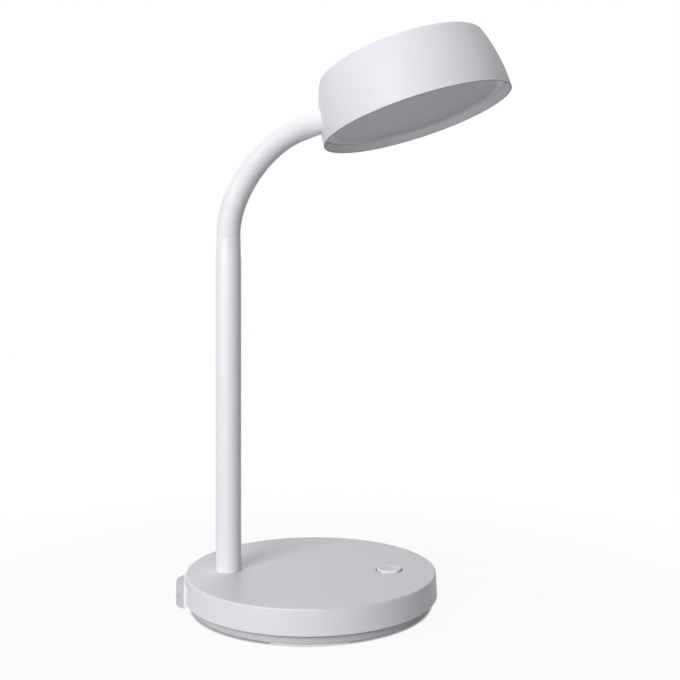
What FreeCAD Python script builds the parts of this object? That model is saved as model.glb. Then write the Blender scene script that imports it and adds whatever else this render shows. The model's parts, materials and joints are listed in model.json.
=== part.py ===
"""Desk lamp: weighted round base, tube post, flexible neck and a drum head with an LED board.

Frame: origin at the centre of the base, on the surface it stands on; +Z up, +X from the post to the head.
Lengths are millimetres and angles degrees.
"""
import FreeCAD, Part
import math
import os

import Sketcher

Vector = FreeCAD.Vector
Rotation = FreeCAD.Rotation
Placement = FreeCAD.Placement

UP = Vector(0, 0, 1)

# Driving dimensions, one sheet row each.
SIZES = {
    # base casing
    "base_radius": 80.0,
    "base_draft": 0.9,
    "base_height": 21.2,
    "skirt_depth": 14.7,
    "shell_wall": 2.4,
    "shell_top": 2.6,
    "rim_round": 1.0,
    "skirt_round": 0.5,
    # bottom cover and feet
    "cover_gap": 0.25,
    "cover_floor": 2.2,
    "cover_wall": 2.0,
    "cover_rise": 3.0,
    "foot_stand": 0.9,
    "foot_step": 1.35,
    "foot_ledge": 1.0,
    "foot_round": 0.6,
    "pad_thickness": 1.5,
    "pad_width": 8.0,
    "pad_inset": 0.3,
    "pad_angle": 34.0,
    "pad_turn": 3.6,
    "centre_pad_radius": 12.0,
    "pad_gap": 0.1,
    # screws
    "screw_radius": 1.5,
    "screw_head_radius": 2.8,
    "screw_head_height": 1.8,
    "thread_gap": 0.05,
    "screw_hole_gap": 0.2,
    "boss_wall": 2.4,
    "cover_screw_inset": 14.0,
    "cover_screw_length": 9.0,
    # weight plate
    "weight_clear": 2.1,
    "weight_thickness": 9.0,
    "weight_board_gap": 4.0,
    "weight_gap": 0.4,
    "nest_wall": 1.6,
    "nest_height": 3.0,
    "nest_angle": 226.0,
    "weight_screw_inset": 16.0,
    # post
    "post_inset": 27.3,
    "post_radius": 8.0,
    "post_wall": 1.2,
    "post_top": 230.8,
    "post_taper": 15.0,
    "post_waist_step": 0.38,
    "post_bead_step": 0.26,
    "post_bead_height": 3.2,
    "post_gap": 0.1,
    "post_seat_rim": 2.0,
    "post_seat_depth": 4.0,
    "flange_rim": 6.0,
    "flange_thickness": 2.5,
    "flange_screw_offset": 3.0,
    "flange_screw_length": 6.0,
    # neck
    "neck_length": 92.0,
    "neck_angle": 67.7,
    "neck_end_bend": 0.8,
    "neck_cuff": 7.2,
    "sleeve_step": 0.5,
    "core_radius": 4.9,
    "core_bore": 2.6,
    "core_wire": 0.9,
    "ball_gap": 0.3,
    "fit_gap": 0.05,
    "plug_depth": 18.0,
    "plug_floor": 2.0,
    # push button and its switch
    "button_inset": 31.2,
    "button_side": -8.6,
    "button_radius": 7.65,
    "button_gap": 0.95,
    "button_proud": 1.1,
    "button_dish": 0.9,
    "button_land": 0.6,
    "button_lip": 1.8,
    "button_lip_thickness": 1.2,
    "button_lip_gap": 0.25,
    "button_skin": 1.6,
    "button_travel": 1.5,
    "stem_radius": 3.0,
    "guide_gap": 0.35,
    "guide_wall": 1.4,
    "guide_height": 4.0,
    "switch_width": 9.0,
    "switch_height": 5.0,
    "plunger_radius": 1.6,
    "plunger_gap": 0.08,
    "plunger_grip": 2.2,
    # control board
    "board_length": 40.0,
    "board_width": 32.0,
    "board_thickness": 1.6,
    "board_offset": 4.3,
    "board_stand": 3.3,
    "board_screw_inset": 3.0,
    "board_screw_radius": 1.1,
    "inductor_radius": 4.5,
    "inductor_height": 6.0,
    "capacitor_radius": 4.0,
    "part_offset_y": 9.0,
    "part_setback": 8.5,
    "terminal_length": 6.0,
    "terminal_width": 10.0,
    "terminal_height": 6.0,
    "terminal_offset": 5.1,
    "lead_radius": 1.2,
    "lead_bend": 6.0,
    "lead_bed": 3.7,
    # cable inlet
    "inlet_angle": 5.2,
    "inlet_half_width": 14.2,
    "inlet_half_face": 5.5,
    "inlet_shoulder": 9.0,
    "inlet_depth": 4.8,
    "inlet_shoulder_depth": 3.8,
    "inlet_side_sink": 0.1,
    "inlet_drop": 2.5,
    "inlet_height": 13.0,
    "inlet_round": 0.6,
    "inlet_tongue_half_width": 8.0,
    "inlet_tongue_height": 9.0,
    "inlet_catch": 2.0,
    "inlet_catch_width": 1.3,
    "inlet_gap": 0.2,
    "groove_width": 0.7,
    "groove_depth": 0.4,
    "cord_radius": 2.75,
    "clamp_length": 5.7,
    "clamp_half_width": 13.0,
    "clamp_thickness": 4.5,
    "clamp_inset": 5.4,
    "clamp_screw_offset": 9.0,
    # head
    "spigot_angle": 6.1,
    "spigot_stand": 9.0,
    "spigot_low": 13.6,
    "spigot_step": 0.1,
    "head_rim_radius": 62.6,
    "head_crown_radius": 53.9,
    "head_height": 40.2,
    "head_dome": 0.9,
    "head_side_curve": 115.0,
    "head_crown_round": 3.3,
    "head_lip": 1.9,
    "head_edge": 0.9,
    "head_wall": 2.4,
    "lip_round": 0.4,
    "diffuser_recess": 5.2,
    "diffuser_thickness": 1.5,
    "diffuser_gap": 0.3,
    "ledge_width": 1.5,
    "ledge_height": 1.5,
    "spreader_level": 18.5,
    "spreader_clear": 0.8,
    "spreader_thickness": 1.5,
    "spreader_edge": 5.0,
    "led_board_inset": 8.0,
    "led_board_thickness": 1.2,
    "led_length": 3.5,
    "led_width": 2.8,
    "led_height": 0.8,
    "led_inner_ring": 14.0,
    "led_outer_ring": 27.0,
    "head_screw_inset": 6.0,
    "head_boss_depth": 8.0,
    "reflector_top_inset": 6.0,
    "reflector_bottom_inset": 8.7,
    "reflector_wall": 1.2,
    "reflector_notch": 3.6,
    "stub_radius": 3.6,
    "stub_gap": 0.1,
    "stub_shoulder": 10.0,
    "nut_clear": 0.95672,
    "nut_seat_radius": 7.0,
    "nut_flat": 5.5,
    "nut_thickness": 4.0,
    "stub_tail": 1.5,
}

NECK_LINKS = 10
COVER_SCREWS = 4
FOOT_PADS = 4
FLANGE_SCREWS = 3
HEAD_SCREWS = 3
INNER_LEDS = 6
OUTER_LEDS = 12

doc = FreeCAD.newDocument("DeskLamp")
sheet = doc.addObject("Spreadsheet::Sheet", "Dims")
for row, (alias, number) in enumerate(SIZES.items(), start=1):
    sheet.set(f"A{row}", alias)
    sheet.set(f"B{row}", str(number))
    sheet.setAlias(f"B{row}", alias)
doc.recompute()


class Size:
    """A length or angle: its number, and the sheet formula that gives it."""

    def __init__(self, value, formula):
        self.value = float(value)
        self.formula = formula

    def __float__(self):
        return self.value

    def __add__(self, other):
        return Size(self.value + float(other), f"({self.formula} + {formula_of(other)})")

    def __radd__(self, other):
        return Size(float(other) + self.value, f"({formula_of(other)} + {self.formula})")

    def __sub__(self, other):
        return Size(self.value - float(other), f"({self.formula} - {formula_of(other)})")

    def __rsub__(self, other):
        return Size(float(other) - self.value, f"({formula_of(other)} - {self.formula})")

    def __mul__(self, other):
        return Size(self.value * float(other), f"({self.formula} * {formula_of(other)})")

    def __rmul__(self, other):
        return Size(float(other) * self.value, f"({formula_of(other)} * {self.formula})")

    def __truediv__(self, other):
        return Size(self.value / float(other), f"({self.formula} / {formula_of(other)})")

    def __neg__(self):
        return Size(-self.value, f"(-{self.formula})")


def formula_of(term):
    """The sheet formula of a size, or a plain number as text."""
    return term.formula if isinstance(term, Size) else repr(float(term))


def root(term):
    """Square root of a size."""
    return Size(math.sqrt(term.value), f"sqrt({term.formula})")


def sine(term):
    """Sine of an angle in degrees."""
    return Size(math.sin(math.radians(term.value)), f"sin({term.formula})")


def cosine(term):
    """Cosine of an angle in degrees."""
    return Size(math.cos(math.radians(term.value)), f"cos({term.formula})")


class Sheet:
    """Reads each named cell of the sheet as a Size."""

    def __getattr__(self, alias):
        return Size(sheet.get(alias), f"Dims.{alias}")


d = Sheet()
NIL = Size(0, "0")
RIGHT_ANGLE = Size(90, "90")
pieces = []


# ---- helpers: bodies, sketches and features -------------------------------------------------------------


def new_body(label, place=None):
    """A PartDesign body that becomes one node, standing in its own frame."""
    body = doc.addObject("PartDesign::Body", label)
    body.Label = label
    body.Placement = place or Placement()
    pieces.append(body)
    return body


def origin_feature(body, role):
    """A plane or axis of the body's own origin."""
    return [feature for feature in body.Origin.OriginFeatures if feature.Role == role][0]


def bind(thing, path, term):
    """Set a property from a size and keep it tied to the sheet."""
    thing.setExpression(path, formula_of(term))


def edge_between(start, end, radius):
    """A straight edge, or an arc of the given radius that bulges to the right of its travel."""
    if radius is None:
        return Part.LineSegment(start, end)
    chord = end - start
    half = chord.Length / 2
    swell = float(radius)
    rise = abs(swell) - math.sqrt(swell * swell - half * half)
    right = Vector(chord.y, -chord.x, 0).normalize()
    middle = (start + end) * 0.5 + right * math.copysign(rise, swell)
    return Part.Arc(start, middle, end)


def outline(body, name, role, corners):
    """A closed sketch through (x, y) corners; a third entry is the radius of the edge that leaves it."""
    sketch = body.newObject("Sketcher::SketchObject", name)
    sketch.AttachmentSupport = [(origin_feature(body, role), "")]
    sketch.MapMode = "FlatFace"
    points = [Vector(float(corner[0]), float(corner[1]), 0) for corner in corners]
    radii = [corner[2] if len(corner) > 2 else None for corner in corners]
    starts = []
    ends = []
    for index, radius in enumerate(radii):
        start = points[index]
        end = points[(index + 1) % len(points)]
        edge = sketch.addGeometry(edge_between(start, end, radius))
        forward = (sketch.getPoint(edge, 1) - start).Length < (sketch.getPoint(edge, 2) - start).Length
        starts.append((edge, 1 if forward else 2))
        ends.append((edge, 2 if forward else 1))
        if radius is not None:
            rule = sketch.addConstraint(Sketcher.Constraint("Radius", edge, abs(float(radius))))
            bind(sketch, f"Constraints[{rule}]", radius if float(radius) > 0 else -radius)
    for index, corner in enumerate(corners):
        edge, end = starts[index]
        sketch.addConstraint(Sketcher.Constraint("Coincident", *ends[index - 1], edge, end))
        for kind, axis, term in (("DistanceX", -2, corner[0]), ("DistanceY", -1, corner[1])):
            if isinstance(term, Size):
                rule = sketch.addConstraint(Sketcher.Constraint(kind, edge, end, float(term)))
                bind(sketch, f"Constraints[{rule}]", term)
            else:
                sketch.addConstraint(Sketcher.Constraint("PointOnObject", edge, end, axis))
    return sketch


def turned(body, name, corners, cut=False, angle=None, turn=None):
    """Revolve an outline of (radius, height) corners about the Z axis; turn moves its middle clockwise."""
    sketch = outline(body, name + "Outline", "XZ_Plane", corners)
    if turn is not None:
        sketch.AttachmentOffset = Placement(Vector(), Rotation(Vector(0, -1, 0), float(turn)))
        bind(sketch, "AttachmentOffset.Rotation.Angle", turn)
    feature = body.newObject("PartDesign::Groove" if cut else "PartDesign::Revolution", name)
    feature.Profile = sketch
    feature.ReferenceAxis = (sketch, ["V_Axis"])
    feature.Angle = 360
    if angle is not None:
        feature.Midplane = True
        bind(feature, "Angle", angle)
    sketch.Visibility = False
    return feature


def cylinder(body, name, radius, tall, x, y, z, cut=False, lean=None, turn=0):
    """Add or cut a round boss or hole from (x, y, z); lean tips it from Z towards X, turned about Z."""
    kind = "Subtractive" if cut else "Additive"
    feature = body.newObject(f"PartDesign::{kind}Cylinder", name)
    if lean is not None:
        hinge = Rotation(UP, float(turn)).multVec(Vector(0, 1, 0))
        feature.Placement = Placement(Vector(), Rotation(hinge, float(lean)))
        bind(feature, "Placement.Rotation.Angle", lean)
    bind(feature, "Radius", radius)
    bind(feature, "Height", tall)
    for axis, term in zip("xyz", (x, y, z)):
        bind(feature, f"Placement.Base.{axis}", term)
    return feature


def block(body, name, low, high, cut=False, turn=None):
    """Add or cut a box between two opposite corners, all of it turned about the body's Z axis."""
    kind = "Subtractive" if cut else "Additive"
    feature = body.newObject(f"PartDesign::{kind}Box", name)
    place = low
    if turn is not None:
        feature.Placement = Placement(Vector(), Rotation(UP, float(turn)))
        bind(feature, "Placement.Rotation.Angle", turn)
        place = (*swing(low[0], low[1], turn), low[2])
    for side, axis, start, end, base in zip(("Length", "Width", "Height"), "xyz", low, high, place):
        bind(feature, side, end - start)
        bind(feature, f"Placement.Base.{axis}", base)
    return feature


def ring_of(body, name, feature, count):
    """Repeat a feature evenly round the body's Z axis."""
    pattern = body.newObject("PartDesign::PolarPattern", name)
    pattern.Originals = [feature]
    pattern.Axis = (origin_feature(body, "Z_Axis"), [""])
    pattern.Angle = 360
    pattern.Occurrences = count
    body.Tip = pattern
    return pattern


def round_edges(body, name, base, radius, wanted):
    """Fillet those edges of the base feature that the test picks out."""
    doc.recompute()
    edges = [f"Edge{i}" for i, edge in enumerate(base.Shape.Edges, start=1) if wanted(edge)]
    fillet = body.newObject("PartDesign::Fillet", name)
    fillet.Base = (base, edges)
    bind(fillet, "Radius", radius)
    return fillet


def circle_at(radius, level):
    """Test for a full circle of this radius, lying level at this height."""

    def wanted(edge):
        if edge.Degenerated or not isinstance(edge.Curve, Part.Circle):
            return False
        centre = edge.Curve.Center
        return abs(edge.Curve.Radius - float(radius)) < 0.01 and abs(centre.z - float(level)) < 0.01

    return wanted


def swing(x, y, turn):
    """The place (x, y) turned about the Z axis."""
    return x * cosine(turn) - y * sine(turn), x * sine(turn) + y * cosine(turn)


def at_angle(ring, degrees):
    """The (x, y) place on a ring at a fixed angle."""
    turn = math.radians(degrees)
    return ring * math.cos(turn), ring * math.sin(turn)


def group(label, solids, place=None):
    """One node that holds several separate solids of the same kind."""
    node = doc.addObject("Part::Feature", label)
    node.Label = label
    node.Shape = Part.makeCompound(solids)
    node.Placement = place or Placement()
    pieces.append(node)
    return node


def screw(place, direction, shank):
    """A pan-head screw whose head sits under the place and whose shank goes along the direction."""
    radius = float(d.screw_radius)
    head_height = float(d.screw_head_height)
    head_radius = float(d.screw_head_radius)
    rounding = head_height / 3
    head = Part.makeCylinder(head_radius, head_height, place - direction * head_height, direction)
    crown = [edge for edge in head.Edges if isinstance(edge.Curve, Part.Circle)]
    crown = [edge for edge in crown if (edge.Curve.Center - place).Length > head_height / 2]
    head = head.makeFillet(rounding, crown)
    body = Part.makeCylinder(radius, float(shank), place, direction)
    return head.fuse(body).removeSplitter()


def route(points, bend):
    """A path of straight runs joined by tangent arcs of one radius."""
    edges = []
    last = points[0]
    for before, corner, after in zip(points, points[1:], points[2:]):
        inward = (corner - before).normalize()
        outward = (after - corner).normalize()
        turn = inward.getAngle(outward)
        trim = float(bend) * math.tan(turn / 2)
        start = corner - inward * trim
        end = corner + outward * trim
        middle_line = (outward - inward).normalize()
        centre = corner + middle_line * (float(bend) / math.cos(turn / 2))
        middle = centre - middle_line * float(bend)
        edges.append(Part.makeLine(last, start))
        edges.append(Part.Arc(start, middle, end).toShape())
        last = end
    edges.append(Part.makeLine(last, points[-1]))
    return Part.Wire(edges)


def lead(label, points, bend, place=None):
    """A round wire pair along a route."""
    path = route(points, bend)
    section = Part.Circle(points[0], points[1] - points[0], float(d.lead_radius))
    profile = Part.Wire([section.toShape()])
    return group(label, [path.makePipeShell([profile], True, False)], place)


# ---- levels and places that several pieces share ---------------------------------------------------------

base_top_radius = d.base_radius - d.base_draft
shell_under = d.base_height - d.shell_top
skirt_low = d.base_height - d.skirt_depth
floor_top = d.foot_stand + d.cover_floor
weight_top = floor_top + d.weight_thickness
cover_outer = d.base_radius - d.shell_wall - d.cover_gap
foot_radius = cover_outer - d.foot_step
thread_hole = d.screw_radius + d.thread_gap
pass_hole = d.screw_radius + d.screw_hole_gap
boss_radius = d.screw_radius + d.boss_wall
cover_screw_ring = d.base_radius - d.cover_screw_inset

post_setback = d.base_radius - d.post_inset
post_bore = d.post_radius - d.post_wall
post_waist_radius = d.post_radius - d.post_waist_step
post_bead_radius = d.post_radius - d.post_bead_step
flange_radius = d.post_radius + d.flange_rim
flange_screw_ring = d.post_radius + d.flange_screw_offset
post_seat_radius = flange_radius + d.post_seat_rim
seat_low = shell_under - d.post_seat_depth
flange_low = seat_low - d.flange_thickness

button_forward = d.base_radius - d.button_inset
lip_top = shell_under - d.button_lip_gap
lip_low = lip_top - d.button_lip_thickness
lip_radius = d.button_radius + d.button_lip
board_centre = button_forward - d.board_offset
board_back = board_centre - d.board_length / 2
board_low = floor_top + d.board_stand
board_top = board_low + d.board_thickness
switch_top = board_top + d.switch_height
stem_low = switch_top + d.button_travel + d.guide_gap

weight_radius = cover_screw_ring - boss_radius - d.weight_clear - d.nest_wall - d.weight_gap
weight_front = board_back - d.weight_board_gap
weight_screw_offset = weight_radius - d.weight_screw_inset
lead_level = weight_top - d.lead_bed + d.lead_radius

inlet_reach = d.base_radius + d.inlet_depth
inlet_shoulder_reach = d.base_radius + d.inlet_shoulder_depth
inlet_side_reach = d.base_radius - d.inlet_side_sink
inlet_low = skirt_low - d.inlet_drop
inlet_high = inlet_low + d.inlet_height
inlet_middle = inlet_low + d.inlet_height / 2
clamp_back = d.clamp_inset - d.base_radius
catch_front = clamp_back - d.inlet_gap
catch_back = catch_front - d.inlet_catch_width

sleeve_radius = d.post_radius - d.sleeve_step
link_length = (d.neck_length - d.neck_cuff * 2) / (NECK_LINKS - 1)
cup_radius = sleeve_radius + d.ball_gap
sleeve_bore = d.core_radius + d.fit_gap

mouth_radius = d.head_rim_radius - d.head_lip
spigot_reach = d.head_rim_radius + d.spigot_stand
spigot_radius = sleeve_radius + d.spigot_step
spigot_lean = RIGHT_ANGLE - d.spigot_angle
wall_taper = d.head_rim_radius - d.head_crown_radius
wall_reach = d.head_rim_radius - wall_taper * d.spigot_low / d.head_height
nut_seat = spigot_reach - wall_reach + d.head_wall + d.nut_clear
stub_end = nut_seat + d.nut_thickness + d.stub_tail
diffuser_top = d.diffuser_recess + d.diffuser_thickness
led_board_low = d.spreader_level - d.led_board_thickness
spreader_radius = spigot_reach - stub_end - d.spreader_clear
led_board_radius = spreader_radius - d.led_board_inset
head_screw_ring = led_board_radius - d.head_screw_inset
reflector_top_radius = spreader_radius - d.reflector_top_inset
reflector_bottom_radius = mouth_radius - d.reflector_bottom_inset


def neck_tips():
    """Each link's tip from upright in degrees: the joints near the two ends of the neck turn more."""
    middle = (NECK_LINKS + 1) / 2
    shares = []
    for index in range(1, NECK_LINKS + 1):
        along = (index - middle) / (middle - 1)
        shares.append(1 + float(d.neck_end_bend) * along * along)
    tips = [0.0]
    for share in shares:
        tips.append(tips[-1] + float(d.neck_angle) * share / sum(shares))
    return tips


def neck_pivots():
    """Pivot points along the neck, its end point, and each link's tip from upright in degrees."""
    spot = Vector(-float(post_setback), 0, float(d.post_top))
    tips = neck_tips()
    spots = []
    for index, tip in enumerate(tips):
        turn = math.radians(tip)
        run = d.neck_cuff if index in (0, NECK_LINKS) else link_length
        spot = spot + Vector(math.sin(turn), 0, math.cos(turn)) * float(run)
        spots.append(spot)
    return spots[:-1], spots[-1], tips


PIVOTS, NECK_END, TIPS = neck_pivots()


def link_place(index):
    """The frame of a neck link: its start on the neck, Z along the link."""
    start = Vector(-float(post_setback), 0, float(d.post_top)) if index == 0 else PIVOTS[index - 1]
    return Placement(start, Rotation(Vector(0, 1, 0), TIPS[index]))


def head_place():
    """The head's frame: the rim circle's centre, Z up the drum's axis, X away from the neck."""
    pitch = float(spigot_lean) - TIPS[-1]
    turn = Rotation(Vector(0, 1, 0), -pitch)
    mouth = Vector(-float(spigot_reach), 0, float(d.spigot_low))
    return Placement(NECK_END - turn.multVec(mouth), turn)


HEAD = head_place()


# ---- base ------------------------------------------------------------------------------------------------


def base_shell():
    """Top casing: a shallow drum, open below, with the post seat, button guide and screw bosses inside."""
    body = new_body("base_shell")
    casing = turned(body, "Casing", [
        (0, shell_under),
        (base_top_radius - d.shell_wall, shell_under),
        (d.base_radius - d.shell_wall, skirt_low),
        (d.base_radius, skirt_low),
        (base_top_radius, d.base_height),
        (0, d.base_height),
    ])
    rim = round_edges(body, "RimRound", casing, d.rim_round, circle_at(base_top_radius, d.base_height))
    round_edges(body, "SkirtRound", rim, d.skirt_round, circle_at(d.base_radius, skirt_low))
    cylinder(body, "PostSeat", post_seat_radius, d.post_seat_depth, -post_setback, NIL, seat_low)
    guide_outer = lip_radius + d.guide_gap + d.guide_wall
    guide_low = shell_under - d.guide_height
    cylinder(body, "ButtonGuide", guide_outer, d.guide_height, button_forward, d.button_side, guide_low)
    x, y = at_angle(cover_screw_ring, 45)
    boss = cylinder(body, "CoverBoss", boss_radius, shell_under - floor_top, x, y, floor_top)
    ring_of(body, "CoverBosses", boss, COVER_SCREWS)
    for index, (x, y) in enumerate(board_screw_places()):
        pillar = d.board_screw_radius + d.boss_wall / 2
        cylinder(body, f"BoardBoss{index}", pillar, shell_under - board_top, x, y, board_top)
    opening = lip_radius + d.guide_gap
    cylinder(body, "GuideBore", opening, d.guide_height, button_forward, d.button_side, guide_low, cut=True)
    opening = d.button_radius + d.button_gap
    cylinder(body, "ButtonHole", opening, d.shell_top * 2, button_forward, d.button_side, shell_under, cut=True)
    opening = d.post_radius + d.post_gap
    cylinder(body, "PostHole", opening, d.base_height, -post_setback, NIL, seat_low, cut=True)
    depth = d.cover_screw_length
    x, y = at_angle(cover_screw_ring, 45)
    hole = cylinder(body, "CoverThread", thread_hole, depth, x, y, floor_top, cut=True)
    ring_of(body, "CoverThreads", hole, COVER_SCREWS)
    for index, (x, y) in enumerate(board_screw_places()):
        grip = d.board_screw_radius + d.thread_gap
        cylinder(body, f"BoardThread{index}", grip, d.flange_screw_length, x, y, board_top, cut=True)
    for index, (x, y) in enumerate(flange_screw_places()):
        depth = d.flange_screw_length - d.flange_thickness + d.thread_gap
        cylinder(body, f"SeatThread{index}", thread_hole, depth, x, y, seat_low, cut=True)
    half = d.inlet_tongue_half_width + d.inlet_gap
    high = inlet_middle + d.inlet_tongue_height / 2 + d.inlet_gap
    inner = d.base_radius - d.shell_wall * 3
    block(body, "InletWindow", (-inlet_reach, -half, NIL), (-inner, half, high), cut=True, turn=d.inlet_angle)
    return body


def base_cover():
    """Bottom cover: foot ring, weight nest, pillars for the weight, and the saddle that holds the cord."""
    body = new_body("base_cover")
    rise = skirt_low + d.cover_rise
    ledge = skirt_low + d.foot_ledge
    tray = turned(body, "Tray", [
        (0, d.foot_stand),
        (foot_radius, d.foot_stand),
        (foot_radius, ledge),
        (cover_outer, ledge),
        (cover_outer, rise),
        (foot_radius - d.cover_wall, rise),
        (foot_radius - d.cover_wall, floor_top),
        (0, floor_top),
    ])
    round_edges(body, "FootRound", tray, d.foot_round, circle_at(foot_radius, d.foot_stand))
    nest = -weight_radius - d.weight_gap
    turned(body, "Nest", [
        (nest, floor_top),
        (nest, floor_top + d.nest_height),
        (nest - d.nest_wall, floor_top + d.nest_height),
        (nest - d.nest_wall, floor_top),
    ], angle=d.nest_angle)
    for index, y in enumerate((weight_screw_offset, -weight_screw_offset)):
        cylinder(body, f"WeightPillar{index}", boss_radius, d.weight_thickness, NIL, y, floor_top)
        cylinder(body, f"WeightThread{index}", thread_hole, d.weight_thickness, NIL, y, floor_top, cut=True)
    half = d.clamp_half_width
    block(body, "CordSaddle", (clamp_back, -half, floor_top),
          (clamp_back + d.clamp_length, half, inlet_middle), turn=d.inlet_angle)
    x, y = swing(clamp_back, NIL, d.inlet_angle)
    cylinder(body, "CordGroove", d.cord_radius, d.clamp_length, x, y, inlet_middle,
             cut=True, lean=RIGHT_ANGLE, turn=d.inlet_angle)
    for index, side in enumerate((d.clamp_screw_offset, -d.clamp_screw_offset)):
        depth = inlet_middle - floor_top
        x, y = swing(clamp_back + d.clamp_length / 2, side, d.inlet_angle)
        cylinder(body, f"ClampThread{index}", thread_hole, depth, x, y, floor_top, cut=True)
    half = d.inlet_tongue_half_width + d.inlet_catch + d.inlet_gap * 2
    low = inlet_middle - d.inlet_tongue_height / 2 - d.inlet_gap
    block(body, "InletNotch", (-d.base_radius, -half, low), (clamp_back, half, d.base_height),
          cut=True, turn=d.inlet_angle)
    x, y = at_angle(cover_screw_ring, 45)
    hole = cylinder(body, "ScrewHole", pass_hole, floor_top, x, y, NIL, cut=True)
    ring_of(body, "ScrewHoles", hole, COVER_SCREWS)
    depth = d.screw_head_height / 2
    bore = d.screw_head_radius + d.screw_hole_gap
    sink = cylinder(body, "ScrewSink", bore, depth, x, y, d.foot_stand, cut=True)
    ring_of(body, "ScrewSinks", sink, COVER_SCREWS)
    outer = foot_radius - d.foot_round - d.pad_inset + d.pad_gap
    pocket = turned(body, "PadPocket", [
        (outer - d.pad_width - d.pad_gap * 2, d.foot_stand),
        (outer, d.foot_stand),
        (outer, d.pad_thickness),
        (outer - d.pad_width - d.pad_gap * 2, d.pad_thickness),
    ], cut=True, angle=d.pad_angle + 1, turn=d.pad_turn)
    ring_of(body, "PadPockets", pocket, FOOT_PADS)
    bore = d.centre_pad_radius + d.pad_gap
    cylinder(body, "CentrePocket", bore, d.pad_thickness - d.foot_stand, NIL, NIL, d.foot_stand, cut=True)
    return body


def foot_pads():
    """Four curved rubber pads under the foot ring and a round one in the middle."""
    outer = float(foot_radius - d.foot_round - d.pad_inset)
    inner = outer - float(d.pad_width)
    thick = float(d.pad_thickness)
    span = float(d.pad_angle)
    arc = Part.makeCylinder(outer, thick, Vector(), UP, span).cut(Part.makeCylinder(inner, thick))
    pads = []
    for index in range(FOOT_PADS):
        pad = arc.copy()
        pad.rotate(Vector(), UP, index * 360 / FOOT_PADS - span / 2 - float(d.pad_turn))
        pads.append(pad)
    pads.append(Part.makeCylinder(float(d.centre_pad_radius), thick))
    return group("foot_pads", pads)


def ballast_plate():
    """Iron plate with a flat front edge, a bay round the post's flange and a bed for the lamp's lead."""
    body = new_body("ballast_plate")
    wide = weight_radius * 2
    cylinder(body, "Disc", weight_radius, d.weight_thickness, NIL, NIL, floor_top)
    block(body, "FrontCut", (weight_front, -wide, NIL), (wide, wide, weight_top * 2), cut=True)
    bay = flange_radius + d.weight_gap * 4
    cylinder(body, "PostBay", bay, weight_top, -post_setback, NIL, NIL, cut=True)
    bed = d.lead_radius + d.weight_gap
    bed_low = weight_top - d.lead_bed
    block(body, "LeadBed", (-post_setback, -bed, bed_low), (wide, bed, weight_top * 2), cut=True)
    hole = boss_radius + d.weight_gap / 2
    for index, y in enumerate((weight_screw_offset, -weight_screw_offset)):
        cylinder(body, f"PillarHole{index}", hole, weight_top, NIL, y, NIL, cut=True)
    return body


def ballast_screws():
    """Two screws whose washers press the weight onto the cover."""
    solids = []
    for y in (float(weight_screw_offset), -float(weight_screw_offset)):
        top = Vector(0, y, float(weight_top))
        washer_radius = float(boss_radius + d.screw_head_radius)
        washer_height = float(d.board_thickness)
        washer = Part.makeCylinder(washer_radius, washer_height, top)
        fixing = screw(top + UP * washer_height, -UP, d.weight_thickness)
        solids.append(washer.fuse(fixing).removeSplitter())
    return group("ballast_screws", solids)


def cover_screws():
    """Screws from below through the cover into the shell's bosses."""
    seat = d.foot_stand + d.screw_head_height / 2
    solids = []
    for index in range(COVER_SCREWS):
        x, y = at_angle(cover_screw_ring, 45 + index * 360 / COVER_SCREWS)
        place = Vector(float(x), float(y), float(seat))
        shank = floor_top + d.cover_screw_length - seat - d.thread_gap
        solids.append(flat_screw(place, shank))
    return group("cover_screws", solids)


def flat_screw(place, shank):
    """A thin-head screw that points up, its head sunk to the underside of the cover."""
    head_height = float(d.screw_head_height / 2)
    head = Part.makeCylinder(float(d.screw_head_radius), head_height, place - UP * head_height)
    body = Part.makeCylinder(float(d.screw_radius), float(shank), place)
    return head.fuse(body).removeSplitter()


# ---- cable inlet -----------------------------------------------------------------------------------------


def inlet_place():
    """The inlet stands a little off the post's line, turned about the base's axis."""
    return Placement(Vector(), Rotation(UP, float(d.inlet_angle)))


def inlet_layer(body, name, low, high, inset):
    """One layer of the inlet's faceted cap; the inset draws its outer faces in."""
    back = d.shell_wall * 2 - d.base_radius
    side = d.inlet_half_width - inset
    sketch = outline(body, name + "Outline", "XY_Plane", [
        (back, side),
        (-inlet_side_reach, side),
        (-inlet_shoulder_reach + inset, d.inlet_shoulder),
        (-inlet_reach + inset, d.inlet_half_face),
        (-inlet_reach + inset, -d.inlet_half_face),
        (-inlet_shoulder_reach + inset, -d.inlet_shoulder),
        (-inlet_side_reach, -side),
        (back, -side),
    ])
    bind(sketch, "AttachmentOffset.Base.z", low)
    layer = body.newObject("PartDesign::Pad", name)
    layer.Profile = sketch
    bind(layer, "Length", high - low)
    return layer


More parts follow.
